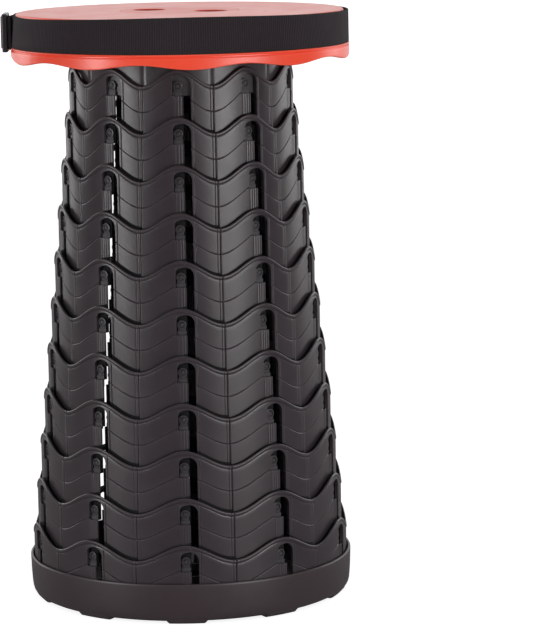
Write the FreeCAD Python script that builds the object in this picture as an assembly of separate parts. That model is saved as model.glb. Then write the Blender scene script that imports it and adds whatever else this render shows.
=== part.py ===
import FreeCAD, Part
import math
import os

from FreeCAD import Vector

# A collapsible telescopic stool, standing extended. Millimetres, +Z up.
# The origin is on the stool's axis, on the plane its feet stand on.
# Azimuths are degrees about +Z from the -Y direction, positive towards +X.
# Round walls are drawn with flats; nested walls have their corners on the same azimuths.

# Flats to a full turn
cells = 10
flats_per_cell = 5
disc_side_count = 40
hole_side_count = 20
screw_side_count = 8

# Rings
ring_count = 12
ring_wall = 2.6
ring_gap = 1.03
ring_height = 55.3
tier_pitch = 35.1
crest_azimuth = -1.9
wave_depth = 12.5

# Windows, slots and lugs, one of each in every cell of a ring
window_below_crest = 5.0
window_shoulder = 6.8
window_right_start = 12.0
ledge_below_crest = 20.2
slot_width = 5.8
slot_offset = 7.0
lug_width = 7.0
lug_height = 11.0
lug_reach = 2.2
last_lug_reach = 1.0
lug_root = 0.6
lug_clearance = 0.3
relief_depth = 1.4

# Base cup and feet
base_outer_r = 125.0
base_wall = 2.8
base_fit = 0.17
base_taper = 0.9
base_rim_z = 31.4
base_rim_bevel = 0.8
base_skirt_z = 5.2
base_floor = 2.5
base_floor_z = 2.3
base_bevel = 3.4
foot_width = 35.0
foot_bevel = 3.6
foot_depth = 13.0
foot_overlap = 1.0
hub_outer_r = 22.0
rib_clearance = 3.5
rib_thickness = 2.2
rib_height = 7.5

# Seat shell
seat_plate = 3.0
stack_clearance = 0.5
rest_clearance = 0.3
seat_wall = 2.4
seat_clearance = 0.47
seat_edge_bevel = 1.2
strap_shelf_drop = 25.5
seat_wall_flare = 2.0
flange_reach = 2.0
flange_wall = 2.8
flange_lobe_drop = 36.5
flange_wave_depth = 3.5
flange_lobe_azimuth = 4.0
collar_wall = 2.6
collar_depth = 9.0

# Centre disc with its two finger holes
disc_r = 45.2
disc_gap = 0.35
disc_plate = 3.0
disc_rim_wall = 2.2
disc_rim_clearance = 0.4
finger_hole_r = 12.75
finger_hole_spacing = 54.7
finger_hole_azimuth = 59.0
finger_tube_wall = 2.0
hook_count = 4
hook_reach = 1.4
hook_height = 2.2
hook_half_width = 9.0

# Deck of the innermost ring, and the screws that hold it to the seat
deck_top_below_face = 15.4
deck_thickness = 2.6
screw_count = 6
screw_inset = 13.5
screw_r = 1.8
screw_hole_clearance = 0.1
screw_head_r = 3.6
screw_head_height = 2.2
screw_length = 11.0
boss_r = 4.6

# Webbing and buckle
strap_thickness = 1.5
strap_clearance = 0.3
strap_top_drop = 0.8
strap_edge_clearance = 0.3
loop_lower = 3.0
buckle_azimuth = -91.0
buckle_length = 27.0
buckle_rail = 2.0
buckle_bar = 5.0
buckle_slot = 6.0
buckle_thickness = 4.2
buckle_bevel = 1.0
tail_thickness = 1.3
tail_lower = 1.6
tail_slot_gap = 1.0
tail_tuck = 2.0
tail_overrun = 6.5

# The carry loop's route, seen from above, as (distance outside the band, azimuth)
loop_route = [
    (0.4, -150.0),
    (0.6, -154.5),
    (5.5, -159.0),
    (20.0, -164.0),
    (37.0, -168.8),
    (46.0, -173.5),
    (46.3, -179.5),
    (38.0, -185.5),
    (20.0, -191.5),
    (5.5, -196.5),
    (0.6, -201.0),
    (0.4, -205.5),
]

# Worked out from the sizes above
flats = cells * flats_per_cell
half_flat = 180.0 / flats
flat_factor = math.cos(math.radians(half_flat))
cell_angle = 360.0 / cells
ring_step = ring_wall + ring_gap
slot_left = slot_offset - slot_width / 2
slot_right = slot_offset + slot_width / 2
ring_bottom_z = base_floor_z + base_floor + rest_clearance
travel = tier_pitch * (ring_count - 1)
seat_under_z = ring_bottom_z + ring_height + stack_clearance + travel
seat_face_z = seat_under_z + seat_plate
base_inner_r = base_outer_r - base_wall
last_ring_outer_r = base_inner_r - base_fit
ring_1_outer_r = last_ring_outer_r - ring_step * (ring_count - 1)
ring_1_inner_r = ring_1_outer_r - ring_wall
foot_inner_r = base_outer_r - foot_depth
rib_outer_r = ring_1_inner_r - rib_clearance
seat_top_r = last_ring_outer_r + seat_clearance + seat_wall
screw_circle_r = ring_1_inner_r - screw_inset
base_low_r = base_outer_r - base_taper
base_floor_top = base_floor_z + base_floor
shelf_z = seat_face_z - strap_shelf_drop
shelf_r = seat_top_r + seat_wall_flare
flange_outer_r = shelf_r + flange_reach
flange_inner_r = flange_outer_r - flange_wall
collar_inner_r = disc_r + disc_gap
collar_low_z = seat_face_z - collar_depth
deck_top_z = seat_face_z - deck_top_below_face
deck_low_z = deck_top_z - deck_thickness
strap_top_z = seat_face_z - strap_top_drop
strap_low_z = shelf_z + strap_edge_clearance
wall_top_z = seat_face_z - seat_edge_bevel
wall_slope = seat_wall_flare / (wall_top_z - shelf_z)
tail_low_z = strap_low_z - tail_lower
tail_top_z = strap_top_z - tail_lower
buckle_low_z = tail_low_z - strap_clearance - buckle_rail
buckle_top_z = tail_top_z + strap_clearance + buckle_rail

UP = Vector(0, 0, 1)
CENTRE = Vector(0, 0, 0)


def at(radius, azimuth, z):
    angle = math.radians(azimuth)
    return Vector(radius * math.sin(angle), -radius * math.cos(angle), z)


def turned(shape, azimuth):
    copy = shape.copy()
    copy.rotate(CENTRE, UP, azimuth)
    return copy


def around(shape, count, first_azimuth):
    return [turned(shape, first_azimuth + 360.0 / count * k) for k in range(count)]


def face_of(points):
    return Part.Face(Part.makePolygon(points + points[:1]))


def solid_of(faces):
    solid = Part.makeSolid(Part.makeShell(faces))
    return solid if solid.Volume > 0 else solid.reversed()


def patch(a, b, c, d):
    """One flat face on four corners, or two triangles if the corners aren't in one plane."""
    normal = (b - a).cross(c - a)
    if abs(normal.dot(d - a)) < 1e-6 * normal.Length:
        return [face_of([a, b, c, d])]
    return [face_of([a, b, c]), face_of([a, c, d])]


def lathe(profile, corners=flats, first_azimuth=crest_azimuth + half_flat):
    """A many-sided solid of revolution; a profile that starts on the axis ends there too."""
    closed = profile[0][0] > 0
    rows = []
    for radius, z in profile:
        if radius > 0:
            rows.append([at(radius, first_azimuth + 360.0 * k / corners, z) for k in range(corners)])
    pairs = list(zip(rows, rows[1:] + (rows[:1] if closed else [])))
    faces = []
    for low, high in pairs:
        for k in range(corners):
            faces += patch(low[k - 1], low[k], high[k], high[k - 1])
    if not closed:
        faces += [face_of(rows[0]), face_of(rows[-1])]
    return solid_of(faces).removeSplitter()


def wavy_wall(outer_r, inner_r, flat_z, middle_z, half_depth, peak_azimuth):
    """A many-sided tube with one plane edge and one wavy edge that has a peak in every cell."""
    stations = [(0.0, flat_factor)] + [(half_flat * (1 + 2 * k), 1.0) for k in range(flats_per_cell)]
    if flats_per_cell % 2 == 0:
        stations.append((cell_angle / 2, flat_factor))
    posts = []
    for cell in range(cells):
        for offset, factor in sorted(stations):
            azimuth = peak_azimuth + cell_angle * cell + offset
            z = middle_z + half_depth * math.cos(math.radians(cells * offset))
            posts.append(
                (
                    at(outer_r * factor, azimuth, flat_z),
                    at(outer_r * factor, azimuth, z),
                    at(inner_r * factor, azimuth, z),
                    at(inner_r * factor, azimuth, flat_z),
                )
            )
    faces = []
    for k, post in enumerate(posts):
        before = posts[k - 1]
        for i in range(4):
            faces += patch(before[i], post[i], post[(i + 1) % 4], before[(i + 1) % 4])
    return solid_of(faces).removeSplitter()


def peg(radius, z_low, z_high, sides, centre=CENTRE, azimuth=0.0):
    """An upright many-sided peg, or the cut for a hole."""
    corners = [centre + at(radius, azimuth + 360.0 * k / sides, z_low) for k in range(sides)]
    return face_of(corners).extrude(Vector(0, 0, z_high - z_low))


def radial_prism(points, inner_r, outer_r):
    """A profile drawn in (sideways, z) at azimuth 0, carried through from one radius to another."""
    face = face_of([Vector(x, -inner_r, z) for x, z in points])
    return face.extrude(Vector(0, inner_r - outer_r, 0))


def radial_box(x_low, x_high, inner_r, outer_r, z_low, z_high):
    corners = [(x_low, z_low), (x_high, z_low), (x_high, z_high), (x_low, z_high)]
    return radial_prism(corners, inner_r, outer_r)


def ring_outer_r(number):
    return ring_1_outer_r + ring_step * (number - 1)


def ring_low_z(number):
    return ring_bottom_z + tier_pitch * (ring_count - number)


def window(outer_r, crest_z, low_z):
    """The arched window with its ledge, and the slot that runs from it down through the ring's foot."""
    left = -lug_width / 2 - lug_clearance
    top = crest_z - window_below_crest
    ledge_z = crest_z - ledge_below_crest
    corners = [
        (left, ledge_z),
        (left, crest_z - window_shoulder),
        (0.4 * slot_right, top),
        (0.85 * slot_right, 0.6 * top + 0.4 * (crest_z - window_right_start)),
        (slot_right, crest_z - window_right_start),
        (slot_right, low_z - 1),
        (slot_left, low_z - 1),
        (slot_left, ledge_z),
    ]
    return radial_prism(corners, outer_r - 4 * ring_wall, outer_r + ring_wall)


def lug(outer_r, low_z, reach):
    """The blunt-topped lug on a ring's foot that shows in the next ring's window."""
    half = lug_width / 2
    top_z = low_z + lug_height
    corners = [
        (-half, low_z),
        (half, low_z),
        (half, top_z - 0.6 * half),
        (0.4 * half, top_z),
        (-0.4 * half, top_z),
        (-half, top_z - 0.6 * half),
    ]
    face_r = outer_r * flat_factor
    return radial_prism(corners, face_r - lug_root, face_r + reach)


def relief(outer_r, crest_z, low_z):
    """The shallow channel inside the wall, under the ledge, that the next smaller ring's lug slides in."""
    inner_face = (outer_r - ring_wall) * flat_factor
    left = -lug_width / 2 - lug_clearance
    right = slot_left + 1
    top = crest_z - ledge_below_crest + 1
    return radial_box(left, right, inner_face - 2 * ring_wall, inner_face + relief_depth, low_z - 1, top)


def ring(number):
    """One tier: a tube with a wavy top edge, windows and slots, and lugs at its foot."""
    outer_r = ring_outer_r(number)
    low_z = ring_low_z(number)
    crest_z = low_z + ring_height
    half_depth = wave_depth / 2
    wall = wavy_wall(outer_r, outer_r - ring_wall, low_z, crest_z - half_depth, half_depth, crest_azimuth)
    cuts = around(window(outer_r, crest_z, low_z), cells, crest_azimuth)
    cuts += around(relief(outer_r, crest_z, low_z), cells, crest_azimuth)
    reach = last_lug_reach if number == ring_count else lug_reach
    return wall.cut(cuts).fuse(around(lug(outer_r, low_z, reach), cells, crest_azimuth))


def screw_places():
    return [at(screw_circle_r, 360.0 / screw_count * k, 0) for k in range(screw_count)]


def top_ring():
    """The innermost ring: a plain tube up to the seat, with lugs at its foot."""
    outer_r = ring_outer_r(1)
    low_z = ring_low_z(1)
    tube = lathe(
        [
            (ring_1_inner_r, low_z),
            (outer_r, low_z),
            (outer_r, seat_under_z),
            (ring_1_inner_r, seat_under_z),
        ]
    )
    return tube.fuse(around(lug(outer_r, low_z, lug_reach), cells, crest_azimuth))


def deck():
    """The plate that closes the innermost ring; the seat is screwed to it."""
    plate = lathe([(0, deck_low_z), (ring_1_inner_r, deck_low_z), (ring_1_inner_r, deck_top_z), (0, deck_top_z)])
    hole_r = screw_r + screw_hole_clearance
    return plate.cut([peg(hole_r, deck_low_z - 1, deck_top_z + 1, screw_side_count, p) for p in screw_places()])


def base_cup():
    """The base: a smooth cup with a floor, stiffening ribs and ten bevelled feet at its edge."""
    cup = lathe(
        [
            (0, base_floor_z),
            (base_low_r - base_bevel, base_floor_z),
            (base_low_r, base_skirt_z),
            (base_outer_r, base_rim_z - base_rim_bevel),
            (base_outer_r - base_rim_bevel, base_rim_z),
            (base_inner_r, base_rim_z),
            (base_inner_r, base_floor_top),
            (0, base_floor_top),
        ]
    )
    pocket_top = ring_bottom_z + lug_height + lug_clearance
    pocket_r = ring_outer_r(ring_count) * flat_factor + last_lug_reach + base_fit
    half = lug_width / 2 + lug_clearance
    pocket = radial_box(-half, half, base_inner_r - 3, pocket_r, base_floor_top, pocket_top)
    half_foot = foot_width / 2
    foot_top = base_skirt_z + foot_overlap
    outline = [
        (-half_foot + foot_bevel, 0),
        (half_foot - foot_bevel, 0),
        (half_foot, foot_bevel),
        (half_foot, foot_top),
        (-half_foot, foot_top),
        (-half_foot, foot_bevel),
    ]
    block = radial_prism(outline, foot_inner_r - 4, base_outer_r + 4)
    foot_ring = lathe(
        [
            (foot_inner_r, 0),
            (base_low_r - 1.0, 0),
            (base_low_r, 1.2),
            (base_low_r, foot_top),
            (base_inner_r + 0.2, foot_top),
            (base_inner_r - 0.6, base_floor_z + 0.5),
            (foot_inner_r, base_floor_z + 0.5),
        ]
    )
    foot = turned(block, crest_azimuth).common(foot_ring)
    rib_top = base_floor_top + rib_height
    rib_low = base_floor_top - 0.5
    hub_profile = [
        (hub_outer_r - rib_thickness, rib_low),
        (hub_outer_r, rib_low),
        (hub_outer_r, rib_top),
        (hub_outer_r - rib_thickness, rib_top),
    ]
    hub = lathe(hub_profile, hole_side_count, crest_azimuth + 180.0 / hole_side_count)
    half_rib = rib_thickness / 2
    rib = radial_box(-half_rib, half_rib, hub_outer_r - 1.2, rib_outer_r, rib_low, rib_top)
    added = around(foot, cells, 0) + [hub] + around(rib, cells, crest_azimuth)
    return cup.fuse(added).cut(around(pocket, cells, crest_azimuth))


def seat_shell():
    """The coral seat: a thin plate, a flared wall under the webbing and a scalloped flange below it."""
    turn = flange_lobe_azimuth + half_flat
    join_z = shelf_z - flange_wall - 2
    shell = lathe(
        [
            (collar_inner_r - 2, seat_face_z),
            (seat_top_r - seat_edge_bevel, seat_face_z),
            (seat_top_r, wall_top_z),
            (shelf_r, shelf_z),
            (flange_outer_r, shelf_z),
            (flange_outer_r, join_z),
            (flange_inner_r, join_z),
            (shelf_r - seat_wall, shelf_z - 1),
            (seat_top_r - seat_wall, seat_under_z),
            (collar_inner_r - 2, seat_under_z),
        ],
        flats,
        turn,
    )
    half_wave = flange_wave_depth / 2
    skirt_z = seat_face_z - flange_lobe_drop + half_wave
    skirt = wavy_wall(flange_outer_r, flange_inner_r, join_z, skirt_z, -half_wave, flange_lobe_azimuth)
    collar_outer_r = collar_inner_r + collar_wall
    collar = peg(collar_outer_r, collar_low_z, seat_under_z + 0.5, disc_side_count)
    hole = peg(collar_inner_r, collar_low_z - 1, seat_face_z + 1, disc_side_count)
    half_rib = rib_thickness / 2
    rib = radial_box(-half_rib, half_rib, collar_outer_r - 1, screw_circle_r, collar_low_z, seat_under_z + 0.5)
    added = [skirt, collar] + around(rib, screw_count, 0)
    added += [peg(boss_r, deck_top_z, seat_under_z + 0.5, screw_side_count, p) for p in screw_places()]
    bore_r = screw_r + screw_hole_clearance
    bore_top = deck_top_z + screw_length
    bores = [peg(bore_r, deck_top_z - 1, bore_top, screw_side_count, p) for p in screw_places()]
    return shell.fuse(added).cut([hole] + bores)


def centre_disc():
    """The flush disc in the middle of the seat, with two finger tubes and four snap hooks."""
    under_z = seat_face_z - disc_plate
    plate = peg(disc_r, under_z, seat_face_z, disc_side_count)
    rim_r = collar_inner_r - disc_rim_clearance
    hook_z = collar_low_z - rest_clearance
    rim_low_z = hook_z - hook_height
    ring_part = peg(rim_r, rim_low_z, under_z + 0.5, disc_side_count)
    ring_part = ring_part.cut(peg(rim_r - disc_rim_wall, rim_low_z - 1, under_z + 1, disc_side_count))
    hook_profile = [
        (rim_r - 0.5, hook_z),
        (rim_r + hook_reach, hook_z),
        (rim_r + 0.2, rim_low_z),
        (rim_r - 0.5, rim_low_z),
    ]
    hook_ring = lathe(hook_profile, disc_side_count, 0.0)
    half = hook_half_width
    sector = radial_box(-half, half, rim_r / 2, rim_r * 2, rim_low_z - 1, seat_face_z)
    turn = round(finger_hole_azimuth / 9.0) * 9.0
    sectors = around(sector, hook_count, turn)
    legs = [ring_part.common(s) for s in sectors]
    hooks = [hook_ring.common(s) for s in sectors]
    tube_low_z = deck_top_z + rest_clearance
    tubes = []
    holes = []
    for side in (0, 180):
        azimuth = finger_hole_azimuth + side
        place = at(finger_hole_spacing / 2, azimuth, 0)
        tube_r = finger_hole_r + finger_tube_wall
        tubes.append(peg(tube_r, tube_low_z, under_z + 0.5, hole_side_count, place, azimuth))
        holes.append(peg(finger_hole_r, tube_low_z - 1, seat_face_z + 1, hole_side_count, place, azimuth))
    return plate.fuse(legs + hooks + tubes).cut(holes)


def seat_screws():
    """The six screws that come up through the deck into the seat's bosses."""
    screws = []
    for place in screw_places():
        head = peg(screw_head_r, deck_low_z - screw_head_height, deck_low_z, screw_side_count, place)
        shank = peg(screw_r, deck_low_z - 0.5, deck_low_z + screw_length, screw_side_count, place)
        screws.append(head.fuse(shank).removeSplitter())
    return screws


def band_inner_r(z):
    return seat_top_r + wall_slope * (wall_top_z - z) + strap_clearance


def strap_band():
    """The webbing that lies round the seat's wall, on the shelf above the flange."""
    top_r = band_inner_r(strap_top_z)
    low_r = band_inner_r(strap_low_z)
    profile = [
        (top_r, strap_top_z),
        (top_r + strap_thickness, strap_top_z),
        (low_r + strap_thickness, strap_low_z),
        (low_r, strap_low_z),
    ]
    return lathe(profile, flats, flange_lobe_azimuth + half_flat)


def ribbon(route, thickness, z_low, z_high):
    """A strip of webbing standing on edge, along a route given as (radius, azimuth) of its middle."""
    points = [at(r, azimuth, z_low) for r, azimuth in route]
    sides = ([], [])
    for k, point in enumerate(points):
        before = (point - points[max(k - 1, 0)]) if k else (points[1] - point)
        after = (points[k + 1] - point) if k + 1 < len(points) else before
        before.normalize()
        after.normalize()
        along = (before + after).normalize()
        across = along.cross(UP) * (thickness / 2 / along.dot(after))
        sides[0].append(point + across)
        sides[1].append(point - across)
    return face_of(sides[0] + sides[1][::-1]).extrude(Vector(0, 0, z_high - z_low))


def outside_band_r():
    return band_inner_r(strap_low_z) + strap_thickness + strap_clearance


def strap_loop():
    """The free carry loop, sewn to the band at both ends."""
    start_r = outside_band_r() + strap_thickness / 2
    route = [(start_r + out, azimuth) for out, azimuth in loop_route]
    return ribbon(route, strap_thickness, strap_low_z - loop_lower, strap_top_z - loop_lower)


def buckle():
    """The sliding buckle: a frame with a middle bar and two slots, lying flat against the band."""
    inner_r = outside_band_r() + tail_thickness + strap_clearance
    outer_r = inner_r + buckle_thickness
    half = buckle_length / 2
    bevel = buckle_bevel
    side_r = outer_r - bevel
    back = radial_box(-half, half, inner_r, side_r, buckle_low_z, buckle_top_z)
    front_half = half - bevel
    front_low = buckle_low_z + bevel
    front_top = buckle_top_z - bevel
    lower = [(-half, buckle_low_z), (half, buckle_low_z), (half, buckle_top_z), (-half, buckle_top_z)]
    upper = [(-front_half, front_low), (front_half, front_low), (front_half, front_top), (-front_half, front_top)]
    low_points = [Vector(x, -side_r, z) for x, z in lower]
    high_points = [Vector(x, -outer_r, z) for x, z in upper]
    faces = [face_of(low_points), face_of(high_points)]
    for k in range(4):
        faces += patch(low_points[k - 1], low_points[k], high_points[k], high_points[k - 1])
    body = back.fuse(solid_of(faces))
    slots = []
    for side in (-1, 1):
        centre = side * (buckle_bar + buckle_slot) / 2
        left = centre - buckle_slot / 2
        right = centre + buckle_slot / 2
        low = buckle_low_z + buckle_rail
        high = buckle_top_z - buckle_rail
        slots.append(radial_box(left, right, inner_r - buckle_thickness, outer_r + buckle_thickness, low, high))
    return turned(body.cut(slots), buckle_azimuth)


def strap_tail():
    """The webbing's working end: up through one slot, over the bar, down through the other and folded back."""
    band_r = outside_band_r() + tail_thickness / 2
    frame_r = outside_band_r() + tail_thickness + strap_clearance
    over_r = frame_r + buckle_thickness + strap_clearance + tail_thickness / 2
    degree = 180.0 / (math.pi * frame_r)
    bar_half = (buckle_bar / 2 + strap_clearance) * degree
    slot_low = (buckle_bar / 2 + buckle_slot - tail_slot_gap) * degree
    end_half = buckle_length / 2 * degree
    route = []
    for side in (1, -1):
        leg = [
            (band_r, buckle_azimuth + side * (end_half + tail_overrun * degree)),
            (band_r, buckle_azimuth + side * (end_half - tail_tuck * degree)),
            (band_r, buckle_azimuth + side * slot_low),
            (over_r, buckle_azimuth + side * bar_half),
        ]
        route += leg if side > 0 else leg[::-1]
    return ribbon(route, tail_thickness, tail_low_z, tail_top_z)


def write(name, shape):
    solids = shape if isinstance(shape, list) else shape.removeSplitter().Solids
    body = Part.makeCompound(solids) if len(solids) > 1 else solids[0]
    body.exportStep("parts/" + name + ".step")


def main():
    os.makedirs("parts", exist_ok=True)
    write("ring_01", top_ring())
    write("deck", deck())
    for number in range(2, ring_count + 1):
        write("ring_%02d" % number, ring(number))
    write("base_cup", base_cup())
    write("seat_shell", seat_shell())
    write("centre_disc", centre_disc())
    write("seat_screws", seat_screws())
    write("strap_band", strap_band())
    write("strap_loop", strap_loop())
    write("strap_tail", strap_tail())
    write("buckle", buckle())


main()
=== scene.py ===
import math

import bmesh
import bpy
from mathutils import Matrix, Vector


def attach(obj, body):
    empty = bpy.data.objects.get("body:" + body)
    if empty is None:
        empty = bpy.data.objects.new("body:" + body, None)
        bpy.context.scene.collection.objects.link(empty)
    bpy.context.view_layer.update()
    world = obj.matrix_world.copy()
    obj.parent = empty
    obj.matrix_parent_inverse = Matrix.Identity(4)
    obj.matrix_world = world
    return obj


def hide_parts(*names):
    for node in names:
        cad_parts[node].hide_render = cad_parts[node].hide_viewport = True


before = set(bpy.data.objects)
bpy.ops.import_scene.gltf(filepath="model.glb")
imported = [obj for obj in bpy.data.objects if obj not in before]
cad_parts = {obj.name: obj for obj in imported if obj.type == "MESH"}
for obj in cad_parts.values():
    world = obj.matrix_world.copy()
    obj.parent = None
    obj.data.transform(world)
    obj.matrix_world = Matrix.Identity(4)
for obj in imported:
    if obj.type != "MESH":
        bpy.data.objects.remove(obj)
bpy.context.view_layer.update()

# The stool's own sizes, in millimetres.
# Azimuths are degrees about +Z from the -Y direction, positive towards +X.
MM = 0.001
CELLS = 10
CELL = 36.0
CREST_AZIMUTH = -1.9
TIERS = 12
FIRST_RING_R = 82.1
RING_STEP = 3.63
RING_WALL = 2.6
RING_HEIGHT = 55.3
TIER_PITCH = 35.1
FOOT_Z = 5.1
WAVE = 12.5
LEDGE_DROP = 20.2
SLOT_LEFT = 4.1
SLOT_RIGHT = 9.9
WINDOW_LEFT = -3.8
SEAT_FACE_Z = 450.0
SEAT_UNDER_Z = 447.0
DECK_TOP_Z = 434.6
DECK_UNDER_Z = 432.0
SCREW_CIRCLE_R = 66.0
SCREWS = 6
STRAP_HALF_WIDTH = 12.2
GRAIN_DEPTH = 0.00003
WORN_BLACK = (0.12, 0.11, 0.12)
WORN_CORAL = (1.0, 0.2, 0.13)


# Small helpers for places and curves


def at(radius, azimuth, z):
    """A point in metres from a radius and height in millimetres."""
    angle = math.radians(azimuth)
    return Vector((radius * math.sin(angle) * MM, -radius * math.cos(angle) * MM, z * MM))


def ease(low, high, value):
    t = min(max((value - low) / (high - low), 0.0), 1.0)
    return t * t * (3 - 2 * t)


def spread(low, high, count):
    return [low + (high - low) * k / count for k in range(count + 1)]


def through(table, value):
    """Reads a small table of (place, height) pairs, with soft turns between its rows."""
    if value <= table[0][0]:
        return table[0][1]
    for (x0, y0), (x1, y1) in zip(table, table[1:]):
        if value <= x1:
            return y0 + (y1 - y0) * ease(x0, x1, value)
    return table[-1][1]


# Shader groups, each one effect for the finishes


def group(name, inputs, outputs):
    tree = bpy.data.node_groups.new(name, "ShaderNodeTree")
    for label, kind, default in inputs:
        socket = tree.interface.new_socket(label, in_out="INPUT", socket_type=kind)
        if default is not None:
            socket.default_value = default
    for label, kind in outputs:
        tree.interface.new_socket(label, in_out="OUTPUT", socket_type=kind)
    entry = tree.nodes.new("NodeGroupInput")
    leave = tree.nodes.new("NodeGroupOutput")
    return tree, entry, leave


def node(tree, kind, **values):
    made = tree.nodes.new(kind)
    for key, value in values.items():
        if key in made.inputs:
            made.inputs[key].default_value = value
        else:
            setattr(made, key, value)
    return made


def math_node(tree, operation, first, second=None, clamp=False):
    made = node(tree, "ShaderNodeMath", operation=operation, use_clamp=clamp)
    for slot, value in zip((0, 1), (first, second)):
        if value is None:
            continue
        if isinstance(value, (int, float)):
            made.inputs[slot].default_value = value
        else:
            tree.links.new(value, made.inputs[slot])
    return made.outputs[0]


def make_moulded_grain():
    """Fine spark texture of moulded plastic, with slow changes of sheen across it."""
    tree, entry, leave = group(
        "moulded_grain",
        [
            ("Grain Scale", "NodeSocketFloat", 2600.0),
            ("Base Roughness", "NodeSocketFloat", 0.4),
            ("Sheen Change", "NodeSocketFloat", 0.08),
        ],
        [("Height", "NodeSocketFloat"), ("Roughness", "NodeSocketFloat"), ("Mottle", "NodeSocketFloat")],
    )
    link = tree.links.new
    place = node(tree, "ShaderNodeTexCoord")
    fine = node(tree, "ShaderNodeTexNoise", Detail=2.0, Roughness=0.6)
    slow = node(tree, "ShaderNodeTexNoise", Scale=38.0, Detail=4.0, Roughness=0.65)
    link(place.outputs["Object"], fine.inputs["Vector"])
    link(place.outputs["Object"], slow.inputs["Vector"])
    link(entry.outputs["Grain Scale"], fine.inputs["Scale"])
    centred = math_node(tree, "SUBTRACT", slow.outputs["Fac"], 0.5)
    swing = math_node(tree, "MULTIPLY", centred, entry.outputs["Sheen Change"])
    doubled = math_node(tree, "MULTIPLY", swing, 2.0)
    rough = math_node(tree, "ADD", doubled, entry.outputs["Base Roughness"], clamp=True)
    link(fine.outputs["Fac"], leave.inputs["Height"])
    link(rough, leave.inputs["Roughness"])
    link(slow.outputs["Fac"], leave.inputs["Mottle"])
    return tree


def make_handled_edges():
    """A mask of the raised edges that hands and the floor rub first."""
    tree, entry, leave = group(
        "handled_edges",
        [("Spread", "NodeSocketFloat", 0.6), ("Breakup", "NodeSocketFloat", 120.0)],
        [("Mask", "NodeSocketFloat")],
    )
    link = tree.links.new
    form = node(tree, "ShaderNodeNewGeometry")
    place = node(tree, "ShaderNodeTexCoord")
    patchy = node(tree, "ShaderNodeTexNoise", Detail=5.0, Roughness=0.7)
    link(place.outputs["Object"], patchy.inputs["Vector"])
    link(entry.outputs["Breakup"], patchy.inputs["Scale"])
    raised = math_node(tree, "SUBTRACT", form.outputs["Pointiness"], 0.505)
    steep = math_node(tree, "MULTIPLY", raised, 14.0, clamp=True)
    broken = math_node(tree, "MULTIPLY", steep, patchy.outputs["Fac"])
    scaled = math_node(tree, "MULTIPLY", broken, entry.outputs["Spread"], clamp=True)
    link(scaled, leave.inputs["Mask"])
    return tree


def make_rib_weave():
    """Webbing: upright ribs over fine lengthwise threads, from the strip's own length and height."""
    tree, entry, leave = group(
        "rib_weave",
        [
            ("Rib Pitch", "NodeSocketFloat", 1.7),
            ("Thread Pitch", "NodeSocketFloat", 1.0),
            ("Edge Width", "NodeSocketFloat", 1.6),
        ],
        [("Height", "NodeSocketFloat"), ("Shade", "NodeSocketFloat"), ("Edge", "NodeSocketFloat")],
    )
    link = tree.links.new
    place = node(tree, "ShaderNodeUVMap", uv_map="webbing")
    split = node(tree, "ShaderNodeSeparateXYZ")
    link(place.outputs["UV"], split.inputs[0])
    turns = math_node(tree, "DIVIDE", split.outputs["X"], entry.outputs["Rib Pitch"])
    rib_wave = math_node(tree, "SINE", math_node(tree, "MULTIPLY", turns, 2 * math.pi))
    rib = math_node(tree, "ADD", math_node(tree, "MULTIPLY", rib_wave, 0.5), 0.5)
    rows = math_node(tree, "DIVIDE", split.outputs["Y"], entry.outputs["Thread Pitch"])
    lean = math_node(tree, "MULTIPLY", turns, 0.5)
    thread_turn = math_node(tree, "ADD", rows, lean)
    thread_wave = math_node(tree, "SINE", math_node(tree, "MULTIPLY", thread_turn, 2 * math.pi))
    thread = math_node(tree, "ADD", math_node(tree, "MULTIPLY", thread_wave, 0.5), 0.5)
    over = math_node(tree, "MULTIPLY", rib, 0.7)
    under = math_node(tree, "MULTIPLY", thread, 0.3)
    height = math_node(tree, "ADD", over, under)
    offset = math_node(tree, "SUBTRACT", split.outputs["Y"], STRAP_HALF_WIDTH)
    from_middle = math_node(tree, "ABSOLUTE", offset)
    inside = math_node(tree, "SUBTRACT", STRAP_HALF_WIDTH, from_middle)
    edge = math_node(tree, "LESS_THAN", inside, entry.outputs["Edge Width"])
    link(height, leave.inputs["Height"])
    link(math_node(tree, "MULTIPLY", rib, thread), leave.inputs["Shade"])
    link(edge, leave.inputs["Edge"])
    return tree


def make_painted_foot_shade():
    """Painted shade on the foot of a tier, which the next tier covers: dark from the line where that tier's
    lip begins, and from higher up right of the crest.
    """
    tree, entry, leave = group(
        "painted_foot_shade",
        [("Lip Line", "NodeSocketFloat", 34.6), ("Steep Side", "NodeSocketFloat", 1.7)],
        [("Mask", "NodeSocketFloat")],
    )
    link = tree.links.new
    place = node(tree, "ShaderNodeUVMap", uv_map="cell_place")
    split = node(tree, "ShaderNodeSeparateXYZ")
    link(place.outputs["UV"], split.inputs[0])
    # Painted shade: right of the crest the dark band starts up to Steep Side higher, as a wider shadow
    # above the next lip.
    right_side = math_node(tree, "MULTIPLY", split.outputs["X"], 0.25, clamp=True)
    raised = math_node(tree, "MULTIPLY", right_side, entry.outputs["Steep Side"])
    start = math_node(tree, "SUBTRACT", entry.outputs["Lip Line"], raised)
    below = math_node(tree, "SUBTRACT", split.outputs["Y"], start)
    link(math_node(tree, "MULTIPLY", below, 1.6, clamp=True), leave.inputs["Mask"])
    return tree


moulded_grain = make_moulded_grain()
handled_edges = make_handled_edges()
rib_weave = make_rib_weave()
painted_foot_shade = make_painted_foot_shade()


# Finishes


def finish_shell(name):
    material = bpy.data.materials.new(name)
    material.use_nodes = True
    tree = material.node_tree
    shader = tree.nodes["Principled BSDF"]
    return material, tree, shader


def use(tree, effect, **values):
    made = node(tree, "ShaderNodeGroup", node_tree=effect)
    for key, value in values.items():
        made.inputs[key.replace("_", " ")].default_value = value
    return made


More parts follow.
